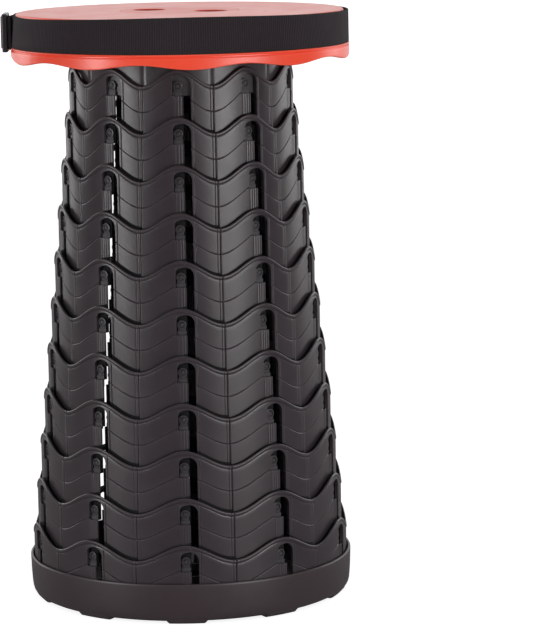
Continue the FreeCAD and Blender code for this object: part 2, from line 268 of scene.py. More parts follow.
def mixed(tree, factor, first, second):
    made = node(tree, "ShaderNodeMix", data_type="RGBA")
    tree.links.new(factor, made.inputs["Factor"])
    for slot, value in zip((6, 7), (first, second)):
        if isinstance(value, tuple):
            made.inputs[slot].default_value = (*value, 1.0)
        else:
            tree.links.new(value, made.inputs[slot])
    return made.outputs[2]


def bumped(tree, shader, height, distance, strength=1.0):
    bump = node(tree, "ShaderNodeBump", Strength=strength, Distance=distance)
    tree.links.new(height, bump.inputs["Height"])
    tree.links.new(bump.outputs["Normal"], shader.inputs["Normal"])


def repainted(tree, shader, mask, colour):
    """Lays another colour over a finish where the mask is 1."""
    painted = shader.inputs["Base Color"].links[0].from_socket
    tree.links.new(mixed(tree, mask, painted, colour), shader.inputs["Base Color"])


def plastic(name, dark, light, worn, roughness, grain_scale, wear=0.5):
    """Moulded plastic: slow colour mottle, spark grain and rubbed edges."""
    material, tree, shader = finish_shell(name)
    grain = use(tree, moulded_grain, Grain_Scale=grain_scale, Base_Roughness=roughness, Sheen_Change=0.1)
    edges = use(tree, handled_edges, Spread=wear)
    body = mixed(tree, grain.outputs["Mottle"], dark, light)
    tree.links.new(mixed(tree, edges.outputs["Mask"], body, worn), shader.inputs["Base Color"])
    tree.links.new(grain.outputs["Roughness"], shader.inputs["Roughness"])
    bumped(tree, shader, grain.outputs["Height"], GRAIN_DEPTH)
    return material


def webbing_finish():
    material, tree, shader = finish_shell("black_webbing")
    weave = use(tree, rib_weave)
    grain = use(tree, moulded_grain, Grain_Scale=900.0, Base_Roughness=0.82, Sheen_Change=0.1)
    threads = mixed(tree, weave.outputs["Shade"], (0.013, 0.008, 0.011), (0.045, 0.030, 0.038))
    bound = mixed(tree, weave.outputs["Edge"], threads, (0.018, 0.016, 0.018))
    tree.links.new(bound, shader.inputs["Base Color"])
    tree.links.new(grain.outputs["Roughness"], shader.inputs["Roughness"])
    shader.inputs["Specular IOR Level"].default_value = 0.3
    bumped(tree, shader, weave.outputs["Height"], 0.0004, 0.8)
    return material


def steel_finish():
    material, tree, shader = finish_shell("zinc_screws")
    grain = use(tree, moulded_grain, Grain_Scale=1400.0, Base_Roughness=0.34, Sheen_Change=0.2)
    body = mixed(tree, grain.outputs["Mottle"], (0.42, 0.42, 0.41), (0.66, 0.66, 0.64))
    tree.links.new(body, shader.inputs["Base Color"])
    tree.links.new(grain.outputs["Roughness"], shader.inputs["Roughness"])
    shader.inputs["Metallic"].default_value = 1.0
    bumped(tree, shader, grain.outputs["Height"], 0.00002)
    return material


def tier_finish():
    """The tiers' black, with painted shade darkening the covered foot of each tier."""
    material = plastic("tier_black", (0.025, 0.017, 0.021), (0.036, 0.026, 0.032), WORN_BLACK, 0.34, 2400.0)
    tree = material.node_tree
    shader = tree.nodes["Principled BSDF"]
    # Painted shade: near black and matte below the lip line, where the next tier covers and shades this
    # one.
    foot = use(tree, painted_foot_shade)
    repainted(tree, shader, foot.outputs["Mask"], (0.004, 0.003, 0.004))
    moulded = shader.inputs["Roughness"].links[0].from_socket
    dulled = math_node(tree, "MULTIPLY", foot.outputs["Mask"], 0.9)
    tree.links.new(math_node(tree, "MAXIMUM", moulded, dulled), shader.inputs["Roughness"])
    return material


def disc_finish():
    """The lid's coral, with painted shade down the walls of its finger holes."""
    material = plastic("coral_disc", (0.94, 0.064, 0.025), (0.98, 0.078, 0.033), WORN_CORAL, 0.36, 1500.0)
    tree = material.node_tree
    shader = tree.nodes["Principled BSDF"]
    place = node(tree, "ShaderNodeTexCoord")
    split = node(tree, "ShaderNodeSeparateXYZ")
    tree.links.new(place.outputs["Object"], split.inputs[0])
    # Painted shade: a darker red on the faces below the lid's top, down the finger holes' walls.
    below = math_node(tree, "SUBTRACT", (SEAT_FACE_Z - 0.3) * MM, split.outputs["Z"])
    bore_shade = math_node(tree, "MULTIPLY", below, 700.0, clamp=True)
    repainted(tree, shader, bore_shade, (0.10, 0.028, 0.022))
    return material


tier_black = tier_finish()
lug_black = plastic("lug_black", (0.020, 0.017, 0.019), (0.030, 0.026, 0.029), WORN_BLACK, 0.34, 2400.0)
base_black = plastic(
    "base_black", (0.033, 0.021, 0.025), (0.042, 0.028, 0.032), (0.10, 0.085, 0.09), 0.42, 2400.0
)
coral = plastic("coral_plastic", (0.95, 0.066, 0.026), (0.99, 0.080, 0.034), WORN_CORAL, 0.32, 1500.0)
coral_disc = disc_finish()
buckle_black = plastic(
    "buckle_black", (0.022, 0.018, 0.022), (0.03, 0.026, 0.03), (0.08, 0.075, 0.08), 0.33, 1800.0, 0.6
)
black_webbing = webbing_finish()
zinc_screws = steel_finish()


# Building meshes


def piece(name, points, faces, finish, body, slot, stands_for=(), soft_angle=None):
    """A mesh object from points in metres, riding on a body and standing for CAD nodes."""
    mesh = bpy.data.meshes.new(name)
    mesh.from_pydata([tuple(p) for p in points], [], faces)
    mesh.validate()
    work = bmesh.new()
    work.from_mesh(mesh)
    bmesh.ops.recalc_face_normals(work, faces=work.faces)
    work.to_mesh(mesh)
    work.free()
    mesh.polygons.foreach_set("use_smooth", [True] * len(mesh.polygons))
    if soft_angle is not None:
        mesh.set_sharp_from_angle(angle=math.radians(soft_angle))
    mesh.materials.append(finish)
    made = bpy.data.objects.new(name, mesh)
    bpy.context.collection.objects.link(made)
    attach(made, body)
    if stands_for:
        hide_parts(*stands_for)
    return made


def even_shading(made, weight=100):
    """Large flat faces stay flat beside small rounds."""
    even = made.modifiers.new("even_shading", "WEIGHTED_NORMAL")
    even.keep_sharp = True
    even.weight = weight
    return made


def rounded(made, width, segments=2, angle=50.0):
    """Breaks the sharp edges by a small round."""
    bevel = made.modifiers.new("edge_round", "BEVEL")
    bevel.width = width * MM
    bevel.segments = segments
    bevel.limit_method = "ANGLE"
    bevel.angle_limit = math.radians(angle)
    bevel.harden_normals = False
    return even_shading(made, 50)


def skin(columns, rows, closed=True):
    """Faces between columns of points that each run once round a closed section."""
    faces = []
    for k in range(columns if closed else columns - 1):
        here = k * rows
        after = (k + 1) % columns * rows
        for i in range(rows):
            j = (i + 1) % rows
            faces.append((here + i, after + i, after + j, here + j))
    return faces


def capped_skin(columns, rows):
    """The faces of an open run of sections, with both ends closed."""
    faces = skin(columns, rows, False)
    faces.append(tuple(range(rows)))
    faces.append(tuple((columns - 1) * rows + i for i in range(rows))[::-1])
    return faces


def turned_form(profile, columns, wave=None):
    """Points and faces of a form of revolution; wave(azimuth) lifts the profile rows that ask for it."""
    points = []
    for k in range(columns):
        azimuth = 360.0 * k / columns
        lift = wave(azimuth) if wave else 0.0
        for row in profile:
            share = row[2] if len(row) > 2 else 0.0
            points.append(at(row[0], azimuth, row[1] + share * lift))
    return points, skin(columns, len(profile))


def join_parts(parts):
    points = []
    faces = []
    for more_points, more_faces in parts:
        start = len(points)
        points += more_points
        faces += [tuple(start + i for i in face) for face in more_faces]
    return points, faces


# The tiers


def ring_r(number):
    return FIRST_RING_R + RING_STEP * (number - 1)


def ring_foot(number):
    return FOOT_Z + TIER_PITCH * (TIERS - number)


# How far the lip bead and the mid line stand out, by the distance below or above them.
LIP = [
    (0.0, -0.3),
    (0.35, 0.25),
    (0.8, 0.5),
    (1.9, 0.5),
    (2.7, 0.15),
    (3.1, -0.25),
    (3.5, -0.15),
    (4.0, 0.0),
]
LIP_ROWS = [0.0, 0.18, 0.35, 0.6, 0.9, 1.4, 1.9, 2.3, 2.7, 2.9, 3.1, 3.5, 4.0]
MID_LINE = [(0.0, 0.0), (0.35, -0.05), (0.75, -0.4), (1.0, -0.3), (1.2, 0.0)]
MID_ROWS = [1.8, 1.2, 1.0, 0.75, 0.35, 0.0]
LUG_FACE = 2.04
WINDOW_TOP = 5.0
WINDOW_LEFT_FOOT = 8.5
WINDOW_RIGHT_FOOT = 12.0
LIP_BAND = 6.0
MID_DROP = 20.4


def panel(angle):
    """Each cell's wall stands out a little at its crest and falls back to the seams."""
    return 0.25 - 0.5 * abs(angle) / (CELL / 2)


class TierShape:
    """Where the features of one tier's cells lie, as angles and as depths below the crest."""

    def __init__(self, radius):
        self.degree = 180.0 / (math.pi * radius)
        self.left = WINDOW_LEFT * self.degree
        self.slot_left = SLOT_LEFT * self.degree
        self.right = SLOT_RIGHT * self.degree
        self.top = 0.35 * self.right

    def columns(self):
        d = self.degree
        half = CELL / 2
        marks = [-half, -half + 0.3 * d, -half + 0.6 * d, -half + 1.0 * d]
        marks += spread(-half + 1.8 * d, self.left - 2.0 * d, 8)
        marks += [self.left - 1.0 * d]
        quarter = math.pi / 2
        marks += [self.top + (self.left - self.top) * math.sin(quarter * k / 7) for k in range(7, 0, -1)]
        marks += [self.top + (self.right - self.top) * math.sin(quarter * k / 10) for k in range(11)]
        marks += spread(self.left + 0.5 * d, self.slot_left - 0.5 * d, 12)
        marks += [self.slot_left]
        marks += [self.right + x * d for x in (0.6, 1.1, 1.4, 1.7, 2.0, 2.4, 3.2)]
        marks += spread(self.right + 4.5 * d, half - 4.2 * d, 7)
        marks += [half - x * d for x in (3.1, 2.7, 2.4, 2.1, 1.7, 1.0, 0.6, 0.3)]
        marks.sort()
        keep = [marks[0]]
        fixed = (self.left, self.slot_left, self.right)
        for mark in marks[1:]:
            close = mark - keep[-1] < 0.22 * d
            if close and any(abs(mark - f) < 1e-6 for f in fixed):
                keep[-1] = mark
            elif not close:
                keep.append(mark)
        return keep

    def edge(self, angle):
        return WAVE / 2 * (1 - math.cos(math.radians(CELLS * angle)))

    def arch(self, angle):
        """How far below the crest the window's arch runs, carried on past its two sides."""
        if angle <= self.left:
            nearer = ease(self.left - 4 * self.degree, self.left, angle)
            rest = WINDOW_LEFT_FOOT - self.edge(self.left) - LIP_BAND
            return self.edge(angle) + LIP_BAND + rest * nearer
        if angle >= self.right:
            nearer = 1 - ease(self.right, self.right + 4 * self.degree, angle)
            rest = WINDOW_RIGHT_FOOT - self.edge(self.right) - LIP_BAND
            return self.edge(angle) + LIP_BAND + rest * nearer
        if angle < self.top:
            share = (self.top - angle) / (self.top - self.left)
            height = WINDOW_LEFT_FOOT - WINDOW_TOP
            return WINDOW_LEFT_FOOT - height * math.sqrt(max(1 - share * share, 0.0))
        share = (angle - self.top) / (self.right - self.top)
        height = WINDOW_RIGHT_FOOT - WINDOW_TOP
        return WINDOW_RIGHT_FOOT - height * math.sqrt(max(1 - share * share, 0.0))

    def middle(self, angle):
        if self.left <= angle <= self.slot_left:
            return LEDGE_DROP
        away = ease(self.left - 6 * self.degree, self.left, angle) if angle < self.left else 0.0
        below = self.edge(angle) + MID_DROP
        return below + (LEDGE_DROP - below) * away

    def depths(self, angle):
        """Depths below the crest of all rows of one column, and the row counts of its three bands."""
        edge = self.edge(angle)
        arch = self.arch(angle)
        middle = self.middle(angle)
        room = arch - edge
        scale = min(1.0, (room - 0.6) / LIP_ROWS[-1])
        rows = [edge + d * scale for d in LIP_ROWS] + [arch]
        lip = len(rows) - 1
        rows += [arch + (middle - MID_ROWS[0] - arch) * t for t in (0.33, 0.67)]
        rows += [middle - d for d in MID_ROWS]
        mid = len(rows) - 1
        rows += [middle + (RING_HEIGHT - middle) * t for t in (0.15, 0.3, 0.6, 1.0)]
        return rows, lip, mid

    def relief(self, angle, depth, row, lip, mid):
        """How far the surface stands out at a place: lip bead, mid line, seams, ribs and the slot's rim."""
        out = through(LIP, depth - self.edge(angle))
        if lip < row <= mid:
            out += through(MID_LINE, self.middle(angle) - depth)
        half = CELL / 2
        from_seam = (half - abs(angle)) / self.degree
        out += -0.7 * (1 - ease(0.0, 0.65, from_seam))
        if angle > 0:
            out += -0.22 * (1 - ease(0.0, 0.35, abs((half - angle) / self.degree - 2.4)))
        past = (angle - self.right) / self.degree
        if row >= lip - 1 and past > 0:
            out += -0.45 * (1 - ease(0.0, 0.35, abs(past - 1.7)))
        if row >= mid and self.left < angle < self.slot_left:
            x = (angle - self.left) / self.degree
            wide = (self.slot_left - self.left) / self.degree
            inside = ease(0.3, 0.9, x) * ease(0.3, 0.9, wide - x)
            out += 0.2 * inside * math.cos(2 * math.pi * x / (wide / 4.0))
        return out


def tier_wall(number):
    """One tier's outer skin as an open grid.

    It comes with the points whose wall is thin behind the ledge, and with each point's place in
    its cell: how far across from the crest, and how far down from the wavy edge.
    """
    radius = ring_r(number)
    crest_z = ring_foot(number) + RING_HEIGHT
    shape = TierShape(radius)
    columns = shape.columns()
    points = []
    places = []
    thin = []
    bands = None
    for cell in range(CELLS):
        for angle in columns:
            rows, lip, mid = shape.depths(angle)
            bands = (lip, mid, len(rows))
            for i, depth in enumerate(rows):
                out = radius + panel(angle) + shape.relief(angle, depth, i, lip, mid)
                if i >= mid and shape.left - 1e-6 <= angle <= shape.slot_left + 1e-6:
                    thin.append(len(points))
                points.append(at(out, CREST_AZIMUTH + CELL * cell + angle, crest_z - depth))
                places.append((angle / shape.degree, depth - shape.edge(angle)))
    lip, mid, rows = bands
    count = len(columns)
    faces = []
    for cell in range(CELLS):
        for j in range(count):
            here = (cell * count + j) * rows
            after = ((cell * count + j + 1) % (CELLS * count)) * rows
            low = columns[j]
            high = columns[j + 1] if j + 1 < count else CELL / 2
            centre = (low + high) / 2
            for i in range(rows - 1):
                open_window = shape.left < centre < shape.right and lip <= i < mid
                open_slot = shape.slot_left < centre < shape.right and i >= lip
                if not (open_window or open_slot):
                    faces.append((here + i, after + i, after + i + 1, here + i + 1))
    return points, faces, thin, places


def button(radius, azimuth, foot_z):
    """The round lug with its dimple, on a short stem that stands on the tier's foot."""
    sides = 28
    wall = radius - 1.4
    face = radius + LUG_FACE
    rings = [
        (3.55, wall),
        (3.55, face - 0.35),
        (3.45, face - 0.1),
        (3.2, face),
        (2.5, face),
        (2.25, face - 0.25),
        (2.1, face - 0.8),
        (1.35, face - 0.9),
        (1.1, face - 0.5),
        (0.8, face - 0.3),
    ]
    middle_z = foot_z + 7.6
    points = []
    faces = []
    for size, out in rings:
        for k in range(sides):
            turn = 2 * math.pi * k / sides
            side = size * math.cos(turn)
            shift = math.degrees(math.atan2(side, out))
            points.append(at(math.hypot(out, side), azimuth + shift, middle_z + size * math.sin(turn)))
    for i in range(len(rings) - 1):
        for k in range(sides):
            j = (k + 1) % sides
            faces.append((i * sides + k, i * sides + j, (i + 1) * sides + j, (i + 1) * sides + k))
    faces.append(tuple((len(rings) - 1) * sides + k for k in range(sides)))
    stem = block(azimuth, -2.9, 2.9, wall, face - 0.8, foot_z + 2.5, middle_z)
    toe = block(azimuth, -3.4, 3.4, wall, face - 0.1, foot_z - 0.25, foot_z + 3.0)
    return join_parts([(points, faces), stem, toe])


def block(azimuth, left, right, inner, outer, low, high):
    """A small straight block set on the radius at an azimuth."""
    points = []
    for z in (low, high):
        for out, side in ((inner, left), (outer, left), (outer, right), (inner, right)):
            points.append(at(math.hypot(out, side), azimuth + math.degrees(math.atan2(side, out)), z))
    faces = [(0, 1, 2, 3), (7, 6, 5, 4), (0, 4, 5, 1), (1, 5, 6, 2), (2, 6, 7, 3), (3, 7, 4, 0)]
    return points, faces


def mark_cell_places(wall, places, half_cell):
    """Keeps each point's place in its cell in the wall's UV layer, for the painted shade on the foot."""
    layer = wall.data.uv_layers.new(name="cell_place")
    for face in wall.data.polygons:
        along = [places[wall.data.loops[i].vertex_index][0] for i in face.loop_indices]
        wraps = max(along) - min(along) > half_cell
        for i, u in zip(face.loop_indices, along):
            depth = places[wall.data.loops[i].vertex_index][1]
            layer.data[i].uv = (u + 2 * half_cell if wraps and u < 0 else u, depth)


def make_tier(number):
    body = "base" if number == TIERS else "tier_%02d" % number
    node_name = "ring_%02d" % number
    points, faces, thin, places = tier_wall(number)
    wall = piece("tier_%02d_wall" % number, points, faces, tier_black, body, "ring_black", (node_name,))
    mark_cell_places(wall, places, math.pi * ring_r(number) / CELLS)
    full = wall.vertex_groups.new(name="wall")
    full.add(list(range(len(points))), 1.0, "REPLACE")
    full.add(thin, 0.44, "REPLACE")
    shell = wall.modifiers.new("wall", "SOLIDIFY")
    shell.thickness = RING_WALL * MM
    shell.offset = -1.0
    shell.vertex_group = "wall"
    shell.use_even_offset = False
    rounded(wall, 0.28, 2, 60.0)
    if number < TIERS:
        crests = [CREST_AZIMUTH + CELL * k for k in range(CELLS)]
        lugs = join_parts([button(ring_r(number), crest, ring_foot(number)) for crest in crests])
        made = piece("tier_%02d_lugs" % number, *lugs, lug_black, body, "ring_black", soft_angle=40)
        rounded(made, 0.15, 2, 60.0)


def make_top_tier():
    """The innermost tier, closed by the deck under the seat."""
    radius = ring_r(1)
    inner = radius - RING_WALL
    foot = ring_foot(1)
    profile = [
        (inner, foot + 0.3),
        (inner + 0.3, foot),
        (radius - 0.3, foot),
        (radius, foot + 0.3),
        (radius, SEAT_UNDER_Z),
        (inner, SEAT_UNDER_Z),
    ]
    columns = 360
    points = []
    for k in range(columns):
        azimuth = 360.0 * k / columns
        angle = (azimuth - CREST_AZIMUTH + CELL / 2) % CELL - CELL / 2
        seam = -0.6 * (1 - ease(0.0, 0.9, (CELL / 2 - abs(angle)) * math.pi * radius / 180))
        for r, z in profile:
            points.append(at(r + (seam if r > radius - 1 else 0.0), azimuth, z))
    rim = inner + 0.5
    plate = [(0.01, DECK_TOP_Z), (rim, DECK_TOP_Z), (rim, DECK_UNDER_Z), (0.01, DECK_UNDER_Z)]
    lugs = [button(radius, CREST_AZIMUTH + CELL * k, foot) for k in range(CELLS)]
    everything = join_parts([(points, skin(columns, len(profile))), turned_form(plate, 120)] + lugs)
    nodes = ("ring_01", "deck")
    return piece("top_tier", *everything, lug_black, "seat", "ring_black", nodes, soft_angle=35)


for number in range(2, TIERS + 1):
    make_tier(number)
make_top_tier()


# The base cup


def base_foot(middle):
    """One foot: a low pad under the cup's edge with sloping ends."""
    ends = [(17.5, 3.6), (16.9, 2.9), (14.6, 0.6), (13.9, 0.12), (13.1, 0.0)]
    stations = [(-s, z) for s, z in ends]
    stations += [(s, 0.0) for s in (-6.5, 0.0, 6.5)]
    stations += [(s, z) for s, z in ends[::-1]]
    points = []
    for along, low in stations:
        azimuth = middle + along * 180.0 / (math.pi * 124.0)
        side = min(low + 2.6, 4.4)
        section = [(108.0, low), (118.2, low), (119.8, low + 0.45)]
        section += [(121.9, side), (122.6, 4.6), (108.0, 4.2)]
        points += [at(r, azimuth, z) for r, z in section]
    return points, capped_skin(len(stations), len(section))


def make_base():
    cup = turned_form(
        [
            (0.01, 2.3),
            (117.6, 2.3),
            (120.3, 2.6),
            (122.1, 3.5),
            (123.15, 4.9),
            (123.7, 6.9),
            (124.0, 9.4),
            (124.25, 12.5),
            (124.6, 18.0),
            (124.97, 29.6),
            (124.95, 30.6),
            (124.6, 31.2),
            (124.0, 31.4),
            (123.4, 31.35),
            (122.95, 30.9),
            (122.9, 30.0),
            (122.9, 5.6),
            (122.4, 4.9),
            (121.5, 4.8),
            (0.01, 4.8),
        ],
        240,
    )
    feet = [base_foot(CREST_AZIMUTH + CELL * k) for k in range(CELLS)]
    hub = turned_form([(19.8, 4.5), (22.0, 4.5), (22.0, 12.3), (19.8, 12.3)], 72)
    ribs = [block(CREST_AZIMUTH + CELL * k, -1.1, 1.1, 21.0, 76.0, 4.5, 12.3) for k in range(CELLS)]
    everything = join_parts([cup] + feet + [hub] + ribs)
    return piece("base_shell", *everything, base_black, "base", "base_black", ("base_cup",), soft_angle=38)


make_base()


# The seat


def make_seat():
    def scallop(azimuth):
        return 1.75 - 1.75 * math.cos(math.radians(CELLS * (azimuth - 4.0)))

    shell = turned_form(
        [
            (45.55, 449.55),
            (45.7, 449.85),
            (46.0, 450.0),
            (70.0, 450.0),
            (100.0, 450.0),
            (122.6, 450.0),
            (123.6, 449.85),
            (124.35, 449.45),
            (124.75, 448.9),
            (124.9, 448.2),
            (126.9, 425.2),
            (127.6, 424.75),
            (128.55, 424.7),
            (129.0, 424.45),
            (129.2, 423.95),
            (129.05, 423.5),
            (128.6, 423.25),
            (127.9, 423.15),
            (127.9, 422.35),
            (128.6, 422.25),
            (128.9, 421.9),
            (128.95, 420.5, 0.2),
            (128.95, 415.2, 0.9),
            (128.8, 413.9, 1.0),
            (128.3, 413.5, 1.0),
            (126.7, 413.5, 1.0),
            (126.2, 413.9, 1.0),
            (126.1, 415.5, 0.9),
            (126.1, 419.7),
            (124.5, 423.5),
            (123.3, 446.3),
            (122.7, 447.0),
            (48.4, 447.0),
            (48.2, 446.8),
            (48.15, 441.2),
            (47.95, 441.0),
            (45.8, 441.0),
            (45.55, 441.3),
        ],
        400,
        scallop,
    )
    bosses = []
    for k in range(SCREWS):
        azimuth = 360.0 / SCREWS * k
        place = at(SCREW_CIRCLE_R, azimuth, 0)
        points, faces = turned_form([(1.9, 434.6), (4.6, 434.6), (4.6, 447.3), (1.9, 447.3)], 28)
        bosses.append(([p + place for p in points], faces))
        bosses.append(block(azimuth, -1.1, 1.1, 47.5, 62.5, 441.0, 447.3))
    everything = join_parts([shell] + bosses)
    cap = piece("seat_cap", *everything, coral, "seat", "coral_plastic", ("seat_shell",), soft_angle=40)
    return even_shading(cap)


def lid_leg(middle):
    """A springy leg under the lid, with the hook that catches under the seat's recess."""
    section = [(45.15, 447.2), (45.15, 440.7), (46.55, 440.7)]
    section += [(45.35, 438.5), (42.95, 438.5), (42.95, 447.2)]
    stations = spread(-11.5, 11.5, 8)
    points = []
    for along in stations:
        points += [at(r, middle + along, z) for r, z in section]
    return points, capped_skin(len(stations), len(section))


def make_centre_disc():
    """The lock disc: a flat lid with two rounded finger holes and the walls that run down from them."""
    work = bmesh.new()
    outer = []
    columns = 144
    for r, z in ((45.2, 449.5), (45.05, 449.85), (44.7, 450.0)):
        outer.append([work.verts.new(at(r, 360.0 * k / columns, z)) for k in range(columns)])
    skirt = [work.verts.new(at(45.2, 360.0 * k / columns, 447.0)) for k in range(columns)]
    inner = [work.verts.new(at(44.0, 360.0 * k / columns, 447.0)) for k in range(columns)]
    for low, high in ((inner, skirt), (skirt, outer[0]), (outer[0], outer[1]), (outer[1], outer[2])):
        for k in range(columns):
            j = (k + 1) % columns
            work.faces.new((low[k], low[j], high[j], high[k]))
    rim_edges = [work.edges.get((outer[2][k], outer[2][(k + 1) % columns])) for k in range(columns)]
    under_edges = [work.edges.get((inner[k], inner[(k + 1) % columns])) for k in range(columns)]
    sides = 72
    hole_profile = [(13.35, 450.0), (13.0, 449.85), (12.8, 449.45), (12.75, 449.0), (12.75, 435.3)]
    for side in (0, 180):
        place = at(27.35, 59.0 + side, 0)
        rows = []
        for r, z in hole_profile:
            rows.append([work.verts.new(at(r, 360.0 * k / sides, z) + place) for k in range(sides)])
        for r, z in ((12.95, 434.9), (14.55, 434.9), (14.75, 435.1), (14.75, 447.0)):
            rows.append([work.verts.new(at(r, 360.0 * k / sides, z) + place) for k in range(sides)])
        for low, high in zip(rows, rows[1:]):
            for k in range(sides):
                j = (k + 1) % sides
                work.faces.new((low[k], low[j], high[j], high[k]))
        rim_edges += [work.edges.get((rows[0][k], rows[0][(k + 1) % sides])) for k in range(sides)]
        under_edges += [work.edges.get((rows[-1][k], rows[-1][(k + 1) % sides])) for k in range(sides)]
    for edges in (rim_edges, under_edges):
        bmesh.ops.triangle_fill(work, edges=edges, use_beauty=True, use_dissolve=False)
    bmesh.ops.recalc_face_normals(work, faces=work.faces)
    work.verts.index_update()
    points = [v.co.copy() for v in work.verts]
    faces = [tuple(v.index for v in f.verts) for f in work.faces]
    work.free()
    legs = [lid_leg(63.0 + 90.0 * k) for k in range(4)]
    everything = join_parts([(points, faces)] + legs)
    nodes = ("centre_disc",)
    lid = piece("lock_disc", *everything, coral_disc, "seat", "coral_plastic", nodes, soft_angle=35)
    return even_shading(lid)


make_seat()
make_centre_disc()
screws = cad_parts["seat_screws"]
screws.data.materials.clear()
screws.data.materials.append(zinc_screws)


# The webbing and its buckle


def smooth_route(places, steps):
    """A soft curve through a few (radius, azimuth) places, seen from above, in millimetres."""
    flat = [at(r, a, 0) / MM for r, a in places]
    ends = [flat[0] * 2 - flat[1]] + flat + [flat[-1] * 2 - flat[-2]]
    route = []
    for k in range(len(flat) - 1):
        p0, p1, p2, p3 = ends[k : k + 4]
        pull = p2 - p0
        bend = p0 * 2 - p1 * 5 + p2 * 4 - p3
        twist = p1 * 3 - p0 - p2 * 3 + p3
        for step in range(steps):
            t = step / steps
            route.append((p1 * 2 + pull * t + bend * t * t + twist * t**3) / 2)
    route.append(flat[-1])
    return route


def webbing_strip(name, route, thickness, low, high, lean=0.0, closed=False, stands_for=(), shape=None):
    """A strip of webbing standing on edge along a route; lean moves its foot outwards.

    shape(place) gives how much higher and how much further out the strip's top edge is there.
    """
    half = thickness / 2
    height = high - low
    loop = [(-half, 0.5), (-half, height - 0.5), (-half * 0.5, height), (half * 0.5, height)]
    loop += [(half, height - 0.5)] + [(half, height * t) for t in (0.8, 0.6, 0.4, 0.2)]
    loop += [(half, 0.5), (half * 0.5, 0.0), (-half * 0.5, 0.0)]
    count = len(route)
    points = []
    lengths = []
    run = 0.0
    for k, place in enumerate(route):
        before = route[k - 1] if (k or closed) else place
        after = route[(k + 1) % count] if (k + 1 < count or closed) else place
        along = (after - before).normalized()
        across = Vector((along.y, -along.x, 0))
        if k:
            run += (place - route[k - 1]).length
        lengths.append(run)
        rise, stand = shape(place) if shape else (0.0, 0.0)
        for out, up in loop:
            share = up / height
            spot = place + across * (out + lean * (1 - share) + stand * share)
            points.append(Vector((spot.x, spot.y, low + up + rise * share)) * MM)
    rows = len(loop)
    faces = skin(count, rows) if closed else capped_skin(count, rows)
    made = piece(name, points, faces, black_webbing, "seat", "webbing_black", stands_for, soft_angle=60)
    full = run + ((route[0] - route[-1]).length if closed else 0.0)
    layer = made.data.uv_layers.new(name="webbing")
    for face in made.data.polygons:
        spans = [made.data.loops[i].vertex_index // rows for i in face.loop_indices]
        wraps = closed and 0 in spans and count - 1 in spans
        for i in face.loop_indices:
            index = made.data.loops[i].vertex_index
            along = lengths[index // rows]
            if wraps and index // rows == 0:
                along = full
            layer.data[i].uv = (along, loop[index % rows][1])
    return made


STRAP_LOW = 424.8
STRAP_HIGH = STRAP_LOW + 2 * STRAP_HALF_WIDTH
BAND_R = 125.95
OUTSIDE_BAND = 129.0
WEBBING = 1.5
TAIL_WEBBING = 1.3
LOOP_DROP = 3.0
TAIL_DROP = 1.6
BUCKLE_AZIMUTH = -91.0
BUCKLE_GAP = 1.6
BUCKLE_THICKNESS = 4.2
BUCKLE_LOW = 420.9
BUCKLE_HIGH = 449.9


def band_top(place):
    """The band's top edge rides up in front and stands off the seat at its right end."""
    azimuth = math.degrees(math.atan2(place.x, -place.y))
    rise = 2.2 * math.exp(-((azimuth - 6.0) / 38.0) ** 2) - 0.8 * math.exp(-((azimuth + 64.0) / 20.0) ** 2)
    stand = 1.9 * math.exp(-((azimuth - 88.0) / 16.0) ** 2)
    return rise, stand


def make_band():
    columns = 480
    route = [at(BAND_R, 360.0 * k / columns, 0) / MM for k in range(columns)]
    return webbing_strip(
        "strap_round_seat",
        route,
        WEBBING,
        STRAP_LOW,
        STRAP_HIGH,
        lean=2.0,
        closed=True,
        stands_for=("strap_band",),
        shape=band_top,
    )


def make_loop():
    start = OUTSIDE_BAND + WEBBING / 2
    bulges = [
        (0.4, -150.0),
        (0.6, -154.5),
        (5.5, -159.0),
        (20.0, -164.0),
        (37.0, -168.8),
        (46.0, -173.5),
        (46.3, -179.5),
        (38.0, -185.5),
        (20.0, -191.5),
        (5.5, -196.5),
        (0.6, -201.0),
        (0.4, -205.5),
    ]
    route = smooth_route([(start + out, azimuth) for out, azimuth in bulges], 10)
    low, high = STRAP_LOW - LOOP_DROP, STRAP_HIGH - LOOP_DROP
    return webbing_strip("carry_loop", route, WEBBING, low, high, stands_for=("strap_loop",))


def make_tail():
    band = OUTSIDE_BAND + TAIL_WEBBING / 2
    over = OUTSIDE_BAND + BUCKLE_GAP + BUCKLE_THICKNESS + 0.3 + TAIL_WEBBING / 2
    places = []
    for side in (1, -1):
        leg = [
            (band, BUCKLE_AZIMUTH + side * 8.7),
            (band, BUCKLE_AZIMUTH + side * 5.0),
            (band + 0.1, BUCKLE_AZIMUTH + side * 3.5),
            ((band + over) / 2, BUCKLE_AZIMUTH + side * 2.1),
            (over - 0.2, BUCKLE_AZIMUTH + side * 1.0),
        ]
        places += leg if side > 0 else leg[::-1]
    route = smooth_route(places, 10)
    low, high = STRAP_LOW - TAIL_DROP, STRAP_HIGH - TAIL_DROP
    return webbing_strip("strap_end", route, TAIL_WEBBING, low, high, stands_for=("strap_tail",))


